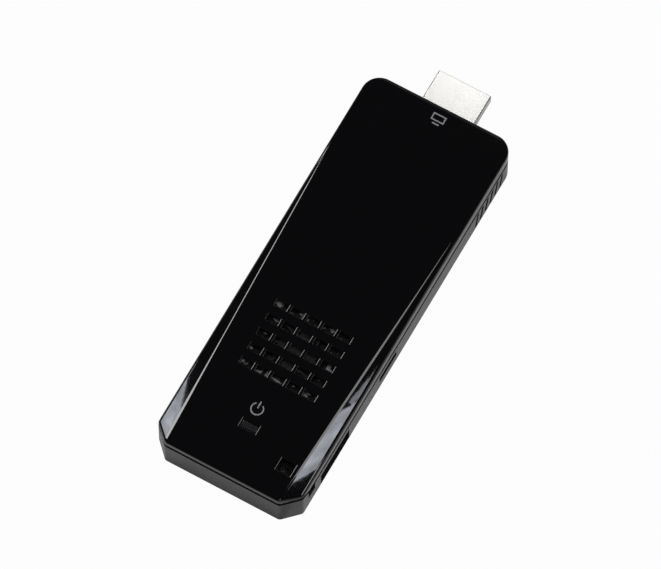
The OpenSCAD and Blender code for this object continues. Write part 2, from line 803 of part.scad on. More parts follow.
// Finned heat sink in the fan's outlet, on two screwed legs
module heat_sink() {
  fin_pitch = (sink_w - fin_t) / (fins - 1);
  color([0.66, 0.67, 0.69]) seat() difference() {
    union() {
      block([-sink_w / 2, sink_y0, sink_z0], [sink_w / 2, sink_y1, sink_z1]);
      for (i = [0 : fins - 1])
        translate([i * fin_pitch - sink_w / 2, sink_y0, sink_z0])
          cube([fin_t, sink_y1 - sink_y0, fin_z - sink_z0]);
      for (p = sink_screw_places) {
        translate([p[0], p[1], board_z1]) cylinder(h = sink_z1 - board_z1, r = sink_leg_r);
        block([min(p[0], sink_w / 2 - over), p[1] - sink_leg_r, sink_z0],
          [max(p[0], over - sink_w / 2), p[1] + sink_leg_r, sink_z1]);
      }
    }
    for (p = sink_screw_places) translate([p[0], p[1], 0]) cylinder(h = body_h, r = screw_r + fit_gap);
  }
}

module heat_sink_screws() {
  color([0.72, 0.72, 0.74]) seat() for (p = sink_screw_places) screw(p, sink_z1);
}

module memory_chips() {
  color([0.1, 0.1, 0.11]) seat() for (s = [-1, 1], y = [processor_y, memory_far_y])
    on_board(s * memory_x, y, [memory_w, memory_l, chip_h]);
}

module storage_chip() {
  color([0.1, 0.1, 0.11]) seat() on_board(0, storage_y, [storage_w, storage_l, chip_h]);
}

// Screened radio module under the fan
wifi_x = wifi_w / 2 + wifi_gap + screw_head_r - screw_x;
wifi_y = fan_y0 + 2 * fan_leg_r + wifi_w / 2 + chip_space;
module wifi_module() {
  color([0.78, 0.78, 0.78]) seat() on_board(wifi_x, wifi_y, [wifi_w, wifi_w, wifi_h]);
}

// Ceramic antenna at the tail edge of the board
module wifi_antenna() {
  antenna_l = 2;
  antenna_h = 1.2;
  antenna_edge = 1.5;
  color([0.85, 0.85, 0.8]) seat()
    on_board(usb_x0 - run_gap - board_gap - antenna_w / 2 - antenna_edge,
      wall + board_gap + antenna_edge + antenna_l / 2, [antenna_w, antenna_l, antenna_h]);
}

// Moulded power inductors under the fan, in a block two wide and two long with one place empty
coil_step = coil_w + chip_space;
coil_y = usb_y + usb_out_w / 2 + usb_ear + chip_space + coil_w / 2;
module inductors() {
  x = wifi_x + wifi_w / 2 + chip_space + coil_w / 2;
  color([0.3, 0.3, 0.31]) seat() for (p = [[0, 0], [1, 0], [0, 1]])
    on_board(x + p[0] * coil_step, coil_y + p[1] * coil_step, [coil_w, coil_w, coil_h]);
}

// Power chip past the inductors and the radio module
module power_chip() {
  y0 = max(wifi_y + wifi_w / 2, coil_y + coil_step + coil_w / 2) + chip_space;
  color([0.1, 0.1, 0.11]) seat()
    on_board(power_chip_w / 2, y0 + power_chip_w / 2, [power_chip_w, power_chip_w, chip_h]);
}

module capacitors() {
  count = 7;
  color([0.72, 0.6, 0.45]) seat() for (i = [0 : count - 1])
    on_board((i - (count - 1) / 2) * cap_pitch, cap_row_y, cap_size);
}

// Blower housing: a floor, walls round the rotor, an outlet towards the plug and a post for the bushing
module fan_frame() {
  r = fan_w / 2 - fan_wall;
  floor_z = fan_z0 + fan_floor_t;
  color([0.12, 0.12, 0.13]) seat() difference() {
    union() {
      difference() {
        block([-fan_w / 2, fan_y0, fan_z0], [fan_w / 2, fan_y1, fan_z1]);
        translate([0, fan_y, floor_z]) cylinder(h = body_h, r = r);
        block([-r, fan_y, floor_z], [r, fan_y1 + over, body_h]);
      }
      translate([0, fan_y, fan_z0]) cylinder(h = hub_top_z - run_gap - fan_z0, r = post_r);
      for (p = fan_leg_places)
        translate([p[0], p[1], board_z1]) cylinder(h = floor_z - board_z1, r = fan_leg_r);
    }
    translate([0, fan_y, floor_z]) cylinder(h = body_h, r = bushing_r + seat_gap);
  }
}

// Sintered bushing in the fan's post
module fan_bushing() {
  z0 = fan_z0 + fan_floor_t;
  color([0.72, 0.55, 0.25]) seat() translate([0, fan_y, z0]) difference() {
    cylinder(h = hub_top_z - run_gap - z0, r = bushing_r);
    translate([0, 0, -over]) cylinder(h = body_h, r = shaft_r + shaft_gap);
  }
}

// Six-pole stator round the post
magnet_r = hub_r - hub_t - seat_gap;
stator_r = magnet_r - magnet_t - run_gap;
module fan_stator() {
  pole_gap = 0.6;
  core_r = (post_r + stator_r) / 2;
  z0 = rotor_z0;
  color([0.7, 0.42, 0.2]) seat() translate([0, fan_y, z0 - run_gap]) difference() {
    cylinder(h = hub_top_z - z0, r = stator_r);
    translate([0, 0, -over]) cylinder(h = body_h, r = post_r + seat_gap);
    for (a = [0 : 60 : 300])
      rotate(a) translate([core_r, -pole_gap / 2, -over]) cube([stator_r, pole_gap, body_h]);
  }
}

// Hub cup with swept blades
module fan_rotor() {
  root_r = hub_r - hub_t / 2;
  rotor_r = fan_w / 2 - fan_wall - rotor_gap;
  blade_l = sqrt(rotor_r ^ 2 - (root_r * sin(blade_sweep)) ^ 2) - root_r * cos(blade_sweep);
  blade_lift = 0.1;
  color([0.16, 0.16, 0.17]) seat() translate([0, fan_y, 0]) difference() {
    union() {
      translate([0, 0, rotor_z0]) cylinder(h = rotor_z1 - rotor_z0, r = hub_r);
      for (i = [0 : blades - 1])
        rotate(i * 360 / blades) translate([root_r, 0, rotor_z0 + blade_lift]) rotate(blade_sweep)
          translate([0, -blade_t / 2, 0]) cube([blade_l, blade_t, rotor_z1 - rotor_z0 - 2 * blade_lift]);
    }
    translate([0, 0, rotor_z0 - over]) cylinder(h = hub_top_z - rotor_z0 + over, r = hub_r - hub_t);
  }
}

// Magnet ring inside the hub
module fan_magnet() {
  color([0.3, 0.28, 0.27]) seat() translate([0, fan_y, rotor_z0]) difference() {
    cylinder(h = hub_top_z - rotor_z0, r = magnet_r);
    translate([0, 0, -over]) cylinder(h = body_h, r = magnet_r - magnet_t);
  }
}

// Shaft under the hub, running in the bushing
module fan_shaft() {
  z0 = fan_z0 + fan_floor_t + shaft_gap;
  color([0.75, 0.75, 0.77]) seat() translate([0, fan_y, z0]) cylinder(h = hub_top_z - z0, r = shaft_r);
}

// Plate on the blower housing with the inlet
module fan_cover() {
  color([0.55, 0.56, 0.58]) seat() translate([0, 0, fan_z1]) linear_extrude(fan_cover_t) difference() {
    translate([-fan_w / 2, fan_y0]) square(fan_w);
    translate([0, fan_y]) circle(fan_inlet_r);
  }
}

// Socket of the fan's lead, under the housing
fan_plug_size = [4, 2.6, 1.5];
fan_plug_x = -fan_w / 4;
fan_plug_set = 2.5;
fan_plug_y = fan_y1 - fan_plug_set;
module fan_connector() {
  color([0.9, 0.88, 0.8]) seat() on_board(fan_plug_x, fan_plug_y, fan_plug_size);
}

// Flat lead from the socket up to the housing
module fan_lead() {
  lead_w = 3;
  lead_t = 0.3;
  color([0.5, 0.35, 0.15]) seat()
    block([fan_plug_x - lead_w / 2, fan_plug_y - lead_t / 2, board_z1 + fan_plug_size[2]],
      [fan_plug_x + lead_w / 2, fan_plug_y + lead_t / 2, fan_z0]);
}

// Light pipe: window in the roof, flange under it and stem down to the lamp
module led_lens() {
  flange = 0.6;
  flange_t = 0.6;
  stem_over = 0.4;
  stem_w = led_chip_size[0] + 2 * stem_over;
  stem_l = led_chip_size[1] + stem_over;
  window_set = 0.3;
  color([0.55, 0.56, 0.58]) seat() union() {
    block([-led_w / 2, led_y - led_l / 2, roof_z - flange_t],
      [led_w / 2, led_y + led_l / 2, body_h - window_set]);
    block([-led_w / 2 - flange, led_y - led_l / 2 - flange, roof_z - flange_t],
      [led_w / 2 + flange, led_y + led_l / 2 + flange, roof_z]);
    block([-stem_w / 2, led_y - stem_l / 2, board_z1 + led_chip_size[2] + run_gap],
      [stem_w / 2, led_y + stem_l / 2, roof_z - flange_t / 2]);
  }
}

// Lid of the casing with facets, vents, lamp window, strap slot and snap hooks
module top_cover() {
  vent_x0 = -(vent_cols - 1) * vent_pitch_x / 2;
  vent_y0 = vent_y - (vent_rows - 1) * vent_pitch_y / 2;
  color([0.03, 0.03, 0.035]) seat() difference() {
    union() {
      difference() {
        slab(0, case_top_side, body_h);
        facet_cuts();
        below_seam(seam_gap / 2);
        difference() {
          slab(wall, 0, roof_z);
          translate([0, 0, -roof_t]) facet_cuts();
        }
      }
      for (y = [hook_right_y, hook_far_y]) snap_hook(y);
      for (y = [hook_left_y, hook_far_y]) mirror([1, 0, 0]) snap_hook(y);
    }
    for (i = [0 : vent_cols - 1], j = [0 : vent_rows - 1])
      translate([vent_x0 + i * vent_pitch_x, vent_y0 + j * vent_pitch_y, body_h])
        cube([vent_w, vent_l, 3 * roof_t], center = true);
    translate([0, led_y, body_h]) cube([led_w + 2 * fit_gap, led_l + 2 * fit_gap, 3 * roof_t], center = true);
    translate([strap_mid_x, strap_y, body_h]) cube([strap_w, strap_l, 3 * roof_t], center = true);
  }
}

bottom_case();
main_board();
board_screws();
hdmi_shell();
hdmi_insulator();
hdmi_contacts();
usb_a_shell();
usb_a_tongue();
usb_a_contacts();
micro_usb_shell();
micro_usb_tongue();
micro_usb_contacts();
microsd_socket();
microsd_contacts();
power_switch();
switch_plunger();
power_button();
led_chip();
processor();
thermal_pad();
heat_sink();
heat_sink_screws();
memory_chips();
storage_chip();
power_chip();
wifi_module();
wifi_antenna();
inductors();
capacitors();
fan_frame();
fan_bushing();
fan_stator();
fan_rotor();
fan_magnet();
fan_shaft();
fan_cover();
fan_connector();
fan_lead();
led_lens();
top_cover();
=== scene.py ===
"""Looks of a stick computer: a snapped two-part casing with a display plug, side ports and a small blower.

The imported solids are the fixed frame. What shows is finished here, from the case floor up to the printed lid.
"""
import math

import bmesh
import bpy
from mathutils import Matrix, Vector


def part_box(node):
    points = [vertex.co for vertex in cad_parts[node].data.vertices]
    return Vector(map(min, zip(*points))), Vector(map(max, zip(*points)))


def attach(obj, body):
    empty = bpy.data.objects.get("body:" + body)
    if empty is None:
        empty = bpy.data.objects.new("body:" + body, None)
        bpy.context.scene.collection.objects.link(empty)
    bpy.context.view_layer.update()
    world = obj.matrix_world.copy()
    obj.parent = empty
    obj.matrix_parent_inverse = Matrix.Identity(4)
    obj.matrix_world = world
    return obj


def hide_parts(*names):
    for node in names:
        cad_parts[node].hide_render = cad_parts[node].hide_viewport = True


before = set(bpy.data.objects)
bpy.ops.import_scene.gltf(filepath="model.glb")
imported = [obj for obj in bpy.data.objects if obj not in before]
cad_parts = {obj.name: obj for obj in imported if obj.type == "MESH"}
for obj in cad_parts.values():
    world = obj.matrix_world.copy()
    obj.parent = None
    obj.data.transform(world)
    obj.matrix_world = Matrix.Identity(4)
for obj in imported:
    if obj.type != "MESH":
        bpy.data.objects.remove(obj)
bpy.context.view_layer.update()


# Bottom case: the tray of the casing, injection moulded in black ABS with a spark-eroded satin skin.
# Its ports, vent slots and strap notch are cored out in the mould, and every edge has the small radius
# that a moulding tool leaves. The lid's hooks snap into it.
MM = 0.001
CASE_BLACK, CASE_BLACK_WORN = "0d0d0f", "151517"
CASE_GRAIN = 0.30  # mm; the true grain is near 0.08, drawn coarser so that it shows
BROAD_CLOUDS = 18  # times the size of the grain
NOISE_LOW, NOISE_HIGH = 0.3, 0.7  # most values of a noise texture lie between these
CORNER_ROUND, UNDER_ROUND, RIM_ROUND = 0.45 * MM, 0.25 * MM, 0.06 * MM
TAIL_CUT, NOSE_RADIUS = 4 * MM, 4.5 * MM
BEVEL_TOP = 0.65 * MM  # just above the bevel round the underside
MERGE = 0.001 * MM
NEAR = 0.02 * MM
FLAT, SHARP, MITRE = math.radians(0.4), math.radians(40), 1.0


def linear(code):
    """An sRGB hex colour as linear RGBA."""
    parts = [int(code[i:i + 2], 16) / 255 for i in (0, 2, 4)]
    return [p / 12.92 if p <= 0.04045 else ((p + 0.055) / 1.055) ** 2.4 for p in parts] + [1.0]


def new_finish(name, **sockets):
    """An empty finish: its material, its node tree and its shader, with constant sockets set."""
    material = bpy.data.materials.new(name)
    material.use_nodes = True
    shader = material.node_tree.nodes["Principled BSDF"]
    for socket, value in sockets.items():
        shader.inputs[socket.replace("_", " ")].default_value = value
    return material, material.node_tree, shader


def add(tree, kind, feeds, **settings):
    """Adds one node: feeds are values or links for its sockets, settings are its own options."""
    made = tree.nodes.new(kind)
    for option, value in settings.items():
        setattr(made, option, value)
    for socket, value in feeds.items():
        if isinstance(value, bpy.types.NodeSocket):
            tree.links.new(value, made.inputs[socket])
        else:
            made.inputs[socket].default_value = value
    return made


def grained(name, dark, pale, grain, rough, relief, stretch=(1, 1, 1), **sockets):
    """A finish whose colour, roughness and relief follow clouds of grain, given in millimetres.

    Stretch draws the grain out along an axis, as rolling or drawing a metal does.
    """
    material, tree, shader = new_finish(name, **sockets)
    place = add(tree, "ShaderNodeTexCoord", {}).outputs["Object"]
    drawn = add(tree, "ShaderNodeMapping",
                {"Vector": place, "Scale": [1 / s for s in stretch]}).outputs["Vector"]
    fine = add(tree, "ShaderNodeTexNoise",
               {"Vector": drawn, "Scale": 1 / (grain * MM), "Detail": 3.0}).outputs["Fac"]
    broad = add(tree, "ShaderNodeTexNoise",
                {"Vector": drawn, "Scale": 1 / (BROAD_CLOUDS * grain * MM), "Detail": 2.0}).outputs["Fac"]
    tone = add(tree, "ShaderNodeMix", {0: broad, 6: linear(dark), 7: linear(pale)}, data_type="RGBA")
    tree.links.new(tone.outputs[2], shader.inputs["Base Color"])
    gloss = add(tree, "ShaderNodeMapRange", {"Value": fine, "From Min": NOISE_LOW, "From Max": NOISE_HIGH,
                                             "To Min": rough[0], "To Max": rough[1]})
    tree.links.new(gloss.outputs["Result"], shader.inputs["Roughness"])
    bump = add(tree, "ShaderNodeBump", {"Height": fine, "Strength": 0.6, "Distance": relief * MM})
    tree.links.new(bump.outputs["Normal"], shader.inputs["Normal"])
    return material


def merged(node):
    """A bmesh of a CAD node, its loose triangles joined into flat faces."""
    shape = bmesh.new()
    shape.from_mesh(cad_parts[node].data)
    bmesh.ops.remove_doubles(shape, verts=shape.verts, dist=MERGE)
    bmesh.ops.dissolve_limit(shape, angle_limit=FLAT, verts=shape.verts, edges=shape.edges)
    return shape


def ridges(shape, least, most, where):
    """Outward edges that turn by so many degrees, where the test on the edge's ends and normals holds."""
    found = []
    for edge in shape.edges:
        if len(edge.link_faces) == 2 and least < math.degrees(edge.calc_face_angle_signed()) < most:
            if where([v.co for v in edge.verts], [f.normal for f in edge.link_faces]):
                found.append(edge)
    return found


def round_over(shape, edges, radius, steps, slide=True):
    """Rounds edges over; sliding lets the ends of a round follow the edges that it meets."""
    bmesh.ops.bevel(shape, geom=edges, offset=radius, offset_type="OFFSET", affect="EDGES", segments=steps,
                    profile=0.5, material=-1, clamp_overlap=False, loop_slide=slide)


def mitred(edge):
    """Whether two rounds that run across each other meet in this edge."""
    across = [f.normal.to_2d() for f in edge.link_faces]
    return len(across) == 2 and min(n.length for n in across) > 0.1 and across[0].angle(across[1]) > MITRE


def finished(shape, name, material, body, slot, *nodes):
    """Makes the piece from its bmesh, shaded smooth except at seams, riding on a body for its CAD nodes."""
    for face in shape.faces:
        face.smooth = True
    for edge in shape.edges:
        edge.smooth = edge.calc_face_angle(math.pi) < SHARP and not edge.seam and not mitred(edge)
    mesh = bpy.data.meshes.new(name)
    shape.to_mesh(mesh)
    shape.free()
    mesh.materials.append(material)
    piece = bpy.data.objects.new(name, mesh)
    bpy.context.scene.collection.objects.link(piece)
    weighted = piece.modifiers.new("flat faces stay flat", "WEIGHTED_NORMAL")
    weighted.keep_sharp = True
    weighted.weight, weighted.thresh = 100, 0.05 * MM * MM
    if nodes:
        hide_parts(*nodes)
    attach(piece, body)
    return piece


case_low, case_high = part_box("bottom_case")
SIDE, TAIL, NOSE = case_high.x, case_low.y, case_high.y


def on_skin(point):
    """Whether a point lies on the casing's outer walls: sides, ends, cut tail corners, round nose corners."""
    if abs(point.x) > SIDE - NEAR or point.y < TAIL + NEAR or point.y > NOSE - NEAR:
        return True
    if abs(point.x) + TAIL - point.y > SIDE - TAIL_CUT - NEAR:
        return True
    corner = Vector((abs(point.x) - SIDE + NOSE_RADIUS, point.y - NOSE + NOSE_RADIUS))
    return min(corner) > 0 and corner.length > NOSE_RADIUS - NEAR


# First the upright corners of the tail, then the bevel round the underside, then the rims of the openings.
case = merged("bottom_case")
round_over(case, ridges(case, 30, 60, lambda ends, normals: all(map(on_skin, ends))
                        and all(abs(n.z) < 0.1 for n in normals) and ends[0].y < TAIL + TAIL_CUT + MM
                        and abs(ends[0].z - ends[1].z) > 3 * MM), CORNER_ROUND, 4)
round_over(case, ridges(case, 30, 60, lambda ends, normals: max(v.z for v in ends) < 0.05 * MM),
           UNDER_ROUND, 3)
round_over(case, ridges(case, 60, 120, lambda ends, normals: all(map(on_skin, ends))
                        and min(v.z for v in ends) > BEVEL_TOP), RIM_ROUND, 3)
# Spark-eroded ABS: an even dull sheen with a fine crawl in it, a little paler where hands have rubbed it.
case_finish = grained("ABS_spark_eroded_black", CASE_BLACK, CASE_BLACK_WORN, CASE_GRAIN, (0.20, 0.30), 0.005,
                      IOR=1.53)
finished(case, "case_tray", case_finish, "chassis", "case_satin", "bottom_case")


# Main board: glass cloth and epoxy under black solder resist, screwed to four bosses of the tray.
# Copper tracks show faintly through the resist as a maze of straight runs.
TRACK_PITCH = 0.9  # mm


def coat(material, *nodes):
    """Gives carried-over CAD nodes their finish."""
    for node in nodes:
        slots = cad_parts[node].data.materials
        slots.clear()
        slots.append(material)


# Solder resist: a smooth lacquer, slightly paler and raised over each copper track.
resist, tree, shader = new_finish("solder_resist_black", IOR=1.5)
place = add(tree, "ShaderNodeTexCoord", {}).outputs["Object"]
tracks = add(tree, "ShaderNodeTexBrick", {
    "Vector": place, "Scale": 1 / (TRACK_PITCH * MM), "Color1": linear("0d1512"), "Color2": linear("101914"),
    "Mortar": linear("1c2a23"), "Mortar Size": 0.12, "Brick Width": 3.2, "Row Height": 0.7})
tree.links.new(tracks.outputs["Color"], shader.inputs["Base Color"])
gloss = add(tree, "ShaderNodeMapRange", {"Value": tracks.outputs["Fac"], "To Min": 0.32, "To Max": 0.24})
tree.links.new(gloss.outputs["Result"], shader.inputs["Roughness"])
bump = add(tree, "ShaderNodeBump", {"Height": tracks.outputs["Fac"], "Strength": 0.5, "Distance": 0.03 * MM})
tree.links.new(bump.outputs["Normal"], shader.inputs["Normal"])
coat(resist, "main_board")

# Screws: turned steel with a bright zinc plate, showing faint turning marks.
zinc = grained("zinc_plated_steel", "a9a9a8", "c4c4c2", 0.12, (0.22, 0.36), 0.004, (1, 1, 6), Metallic=1.0)
coat(zinc, "board_screws", "heat_sink_screws", "fan_shaft")


# Parts soldered to the board: moulded chips, the radio's tinned can, chokes, capacitors, the lamp and
# the aerial. They sit flat on their pads with no other fixing.
# Moulding epoxy: dull charcoal with a sandy, lightly blasted face.
epoxy = grained("chip_moulding_epoxy", "141415", "1d1d1e", 0.15, (0.5, 0.65), 0.01, IOR=1.55)
coat(epoxy, "processor", "memory_chips", "storage_chip", "power_chip")
# Fired alumina: chalky and faintly warm.
alumina = grained("fired_alumina", "d9d5c8", "e6e2d6", 0.2, (0.45, 0.6), 0.004, IOR=1.7)
coat(alumina, "led_chip", "wifi_antenna")
# Barium titanate of the capacitors: brown and finely speckled.
titanate = grained("capacitor_ceramic", "7d6a51", "927d60", 0.12, (0.35, 0.5), 0.004, IOR=1.6)
coat(titanate, "capacitors")
# Sintered ferrite: dark grey, close to matt.
ferrite = grained("sintered_ferrite", "2b2b2d", "39393b", 0.18, (0.55, 0.7), 0.012, IOR=1.6)
coat(ferrite, "inductors", "fan_magnet")
# Tinplate of the radio's can: bright, with rolling lines along its length.
tinplate = grained("tinplate", "b4b3ae", "c9c8c4", 0.1, (0.26, 0.38), 0.003, (1, 14, 1), Metallic=1.0)
coat(tinplate, "wifi_module")


# Display plug: a nickel-plated steel shell folded round a black plastic core with gilt contacts.
# Its folded corners are round, and the core stops short of the shell's mouth.
FOLD_ROUND, MOUTH_ROUND = 0.3 * MM, 0.12 * MM


def cut(shape, faces, axis, place):
    """Cuts faces in two by the plane across an axis at a place on it."""
    edges, corners = {e for f in faces for e in f.edges}, {v for f in faces for v in f.verts}
    across = Vector((axis == 0, axis == 1, axis == 2))
    bmesh.ops.bisect_plane(shape, geom=faces + list(edges | corners), dist=MERGE,
                           plane_co=across * place, plane_no=across)


def folded(node, axis):
    """A sheet metal shell from its CAD node, with a bend radius on the outer corners along an axis.

    Its open ends are first parted at the middle only, so that no parting runs into a corner.
    """
    shape = merged(node)
    low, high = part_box(node)
    side = 1 - axis
    middle = (low[side] + high[side]) / 2
    cut(shape, [f for f in shape.faces if abs(f.normal[axis]) > 0.99], side, middle)
    bmesh.ops.dissolve_edges(shape, edges=[
        e for e in shape.edges if all(abs(f.normal[axis]) > 0.99 for f in e.link_faces)
        and max(abs(v.co[side] - middle) for v in e.verts) > MERGE], use_verts=True)
    round_over(shape, ridges(shape, 20, 100, lambda ends, normals: (ends[0] - ends[1]).length > 3 * MM
                             and abs((ends[0] - ends[1]).normalized()[axis]) > 0.99),
               FOLD_ROUND, 4, slide=False)
    return shape


# Satin nickel: a warm pale metal whose fine rolling lines blur what it mirrors.
nickel = grained("satin_nickel_plate", "dad9d6", "e4e3e1", 0.08, (0.18, 0.21), 0.001, (1, 16, 1),
                 Metallic=1.0)
plug = folded("hdmi_shell", 1)
plug_low, plug_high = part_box("hdmi_shell")
plug_middle = (plug_low.z + plug_high.z) / 2
round_over(plug, ridges(plug, 60, 120, lambda ends, normals: min(v.y for v in ends) > plug_high.y - NEAR
                        and max(n.x * ends[0].x + n.z * (ends[0].z - plug_middle) for n in normals) > NEAR),
           MOUTH_ROUND, 2, slide=False)
finished(plug, "plug_shell", nickel, "chassis", "plug_plating", "hdmi_shell")
# Glass-filled nylon of the connector cores: black, with a faint fibre mottle.
core = grained("glass_filled_nylon_black", "101011", "19191a", 0.14, (0.38, 0.52), 0.006, IOR=1.53)
coat(core, "hdmi_insulator", "usb_a_tongue", "micro_usb_tongue")
# Flash gold on stamped contacts: deep yellow, wiped smooth.
gilt = grained("gold_flashed_contact", "c99f4c", "dcb765", 0.1, (0.18, 0.28), 0.002, (8, 8, 1), Metallic=1.0)
coat(gilt, "hdmi_contacts", "usb_a_contacts", "micro_usb_contacts", "microsd_contacts")


# Side ports and card socket: tin-plated steel shells folded to shape and soldered at the board's edges.
# Each mouth stops just inside the case wall.
# Tin plate on steel: greyer and duller than the plug's nickel, with rolling lines into the port.
port_steel = grained("tin_plated_steel", "a8a8a6", "bebdb9", 0.1, (0.28, 0.42), 0.003, (12, 1, 1),
                     Metallic=1.0)
for node, name in (("usb_a_shell", "usb_shell"), ("micro_usb_shell", "micro_usb_sleeve")):
    finished(folded(node, 0), name, port_steel, "chassis", "port_steel", node)
coat(port_steel, "microsd_socket")


# Power button: a satin ABS key that slides in the left wall and pushes the plunger of a side switch.
# Its face is crowned by a generous edge radius so that a finger finds it.
KEY_ROUND = 0.35 * MM
key_low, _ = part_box("power_button")
key = merged("power_button")
round_over(key, ridges(key, 30, 120, lambda ends, normals: max(v.x for v in ends) < key_low.x + NEAR),
           KEY_ROUND, 4)
# Satin ABS: a shade paler than the tray, with a finer skin.
key_finish = grained("ABS_satin_key_black", "202022", "2a2a2c", 0.22, (0.28, 0.38), 0.008, IOR=1.53)
finished(key, "power_key", key_finish, "button", "button_satin", "power_button")
# Acetal of the plunger: milky and waxy. Nylon of the switch's body: plain black.
acetal = grained("acetal_natural", "cfcdc6", "dcdad4", 0.25, (0.3, 0.4), 0.004, IOR=1.48)
coat(acetal, "switch_plunger")
switch_nylon = grained("switch_nylon_black", "141414", "1c1c1c", 0.15, (0.4, 0.55), 0.006, IOR=1.53)
coat(switch_nylon, "power_switch")


# Heat sink: an extruded aluminium block with cut fins, pressed on the processor by two screws through a pad.
# The pad is a soft grey silicone sheet filled with ceramic powder.
# Extruded aluminium: pale, with long lines from the die.
extruded = grained("extruded_aluminium", "a6a7a9", "bbbcbe", 0.12, (0.3, 0.45), 0.006, (1, 20, 1),
                   Metallic=1.0)
coat(extruded, "heat_sink")
# Filled silicone: chalky blue-grey and matt.
silicone = grained("filled_silicone_pad", "8d93a0", "9ba1ad", 0.3, (0.65, 0.8), 0.02, IOR=1.42)
coat(silicone, "thermal_pad")


# Blower: a moulded frame and bladed wheel round a small motor, closed by a pressed steel plate.
# The wheel turns on a shaft in a bronze bushing; the flat lead plugs into the board.
# Nylon of the frame and the wheel: black with a dull sheen.
wheel_nylon = grained("wheel_nylon_black", "0f0f10", "161617", 0.2, (0.4, 0.55), 0.006, IOR=1.53)
coat(wheel_nylon, "fan_frame", "fan_rotor")
# Phosphated steel: near black, dry and finely crystalline, with pale spots painted in as reflections of light
# coming through the vents.
GLINT_SPOT_SIZE = 1.7  # mm
phosphate = grained("black_phosphated_steel", "060607", "0d0d0e", 0.8, (0.5, 0.8), 0.006, IOR=1.15)
tree = phosphate.node_tree
shader = tree.nodes["Principled BSDF"]
place = add(tree, "ShaderNodeTexCoord", {}).outputs["Object"]
# Painted reflections: pale noise spots mixed into the colour, standing in for light glinting off the plate
# through the vents.
spots = add(tree, "ShaderNodeTexNoise", {"Vector": place, "Scale": 1 / (GLINT_SPOT_SIZE * MM), "Detail": 1.0})
painted_glints = add(tree, "ShaderNodeMapRange", {"Value": spots.outputs["Fac"], "From Min": 0.55, "From Max": 0.63})
base_tone = shader.inputs["Base Color"].links[0].from_socket
tone = add(tree, "ShaderNodeMix", {0: painted_glints.outputs["Result"], 6: base_tone, 7: linear("66666a")},
           data_type="RGBA")
tree.links.new(tone.outputs[2], shader.inputs["Base Color"])
coat(phosphate, "fan_cover")
# Sintered bronze: brown, with fine pores that hold the oil.
bronze = grained("sintered_bronze", "8a6a3c", "a17d48", 0.12, (0.35, 0.5), 0.008, Metallic=1.0)
coat(bronze, "fan_bushing")
# Unfilled nylon of the connector: cream and smooth.
connector_nylon = grained("connector_nylon_cream", "d8d2c0", "e3decd", 0.2, (0.4, 0.5), 0.004, IOR=1.53)
coat(connector_nylon, "fan_connector")
# Polyimide film of the lead: amber and glossy.
film = grained("polyimide_film", "7a4a1c", "8f5a25", 0.3, (0.2, 0.3), 0.003, IOR=1.65)
coat(film, "fan_lead")
# Enamelled copper wire, wound in even turns that show as fine ribs round the motor; the colour is painted
# darker in the troughs and paler on the crests, as shade and highlight.
WIRE = 0.2  # mm; the true wire is near 0.1, drawn coarser so that it shows
WAVE_PERIOD = math.pi / 10  # of a wave texture at a scale of 1
copper, tree, shader = new_finish("enamelled_copper_wire", Metallic=1.0)
place = add(tree, "ShaderNodeTexCoord", {}).outputs["Object"]
turns = add(tree, "ShaderNodeTexWave",
            {"Vector": place, "Scale": WAVE_PERIOD / (WIRE * MM), "Distortion": 0.4}, bands_direction="Z")
# Painted shade and highlight: the colour follows the same wave as the bump, dark in the troughs and pale on the
# crests.
tone = add(tree, "ShaderNodeMix", {0: turns.outputs["Fac"], 6: linear("6e3a1e"), 7: linear("b87146")},
           data_type="RGBA")
tree.links.new(tone.outputs[2], shader.inputs["Base Color"])
shader.inputs["Roughness"].default_value = 0.3
bump = add(tree, "ShaderNodeBump", {"Height": turns.outputs["Fac"], "Strength": 0.8, "Distance": 0.05 * MM})
tree.links.new(bump.outputs["Normal"], shader.inputs["Normal"])
coat(copper, "fan_stator")


# Lamp window: the end of a light pipe in smoked acrylic, standing just below the lid's face.
# Fine ribs moulded across its end spread the lamp's light.
RIB = 0.55  # mm
WINDOW_ROUND = 0.08 * MM
lens = merged("led_lens")
_, lens_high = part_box("led_lens")
round_over(lens, ridges(lens, 60, 120, lambda ends, normals: min(v.z for v in ends) > lens_high.z - NEAR),
           WINDOW_ROUND, 2)
# Smoked acrylic: dark grey and silky, with pale lines where the ribs catch the light.
smoke, tree, shader = new_finish("smoked_acrylic_ribbed", IOR=1.49)
place = add(tree, "ShaderNodeTexCoord", {}).outputs["Object"]
ribs = add(tree, "ShaderNodeTexWave",
           {"Vector": place, "Scale": WAVE_PERIOD / (RIB * MM)}, bands_direction="X")
tone = add(tree, "ShaderNodeMix", {0: ribs.outputs["Fac"], 6: linear("121214"), 7: linear("232326")},
           data_type="RGBA")
tree.links.new(tone.outputs[2], shader.inputs["Base Color"])
shader.inputs["Roughness"].default_value = 0.12
bump = add(tree, "ShaderNodeBump", {"Height": ribs.outputs["Fac"], "Strength": 0.1, "Distance": 0.02 * MM})
tree.links.new(bump.outputs["Normal"], shader.inputs["Normal"])
finished(lens, "lamp_window", smoke, "chassis", "lens_smoke", "led_lens")


# Lid: the top half of the casing, ABS moulded in a mirror-polished tool so that it comes out piano black.
# A flat panel falls to two tapering side facets; vents, lamp window and strap slot are cored through it.
LID_BLACK = "08080a"
FACET_WIDTH, FACET_DROP = 4 * MM, 1.25 * MM  # at the tail
FACET_RUN = 99 * MM  # over this length a facet narrows to nothing
EDGE_ROUND, CREASE_ROUND, SLOT_ROUND = 0.7 * MM, 0.28 * MM, 0.32 * MM
CREASE_END = 24.2 * MM  # here the crease meets the round of the outer edge, and both run on as one
FADE = 6 * MM  # over this length before it, the facet fades into that round
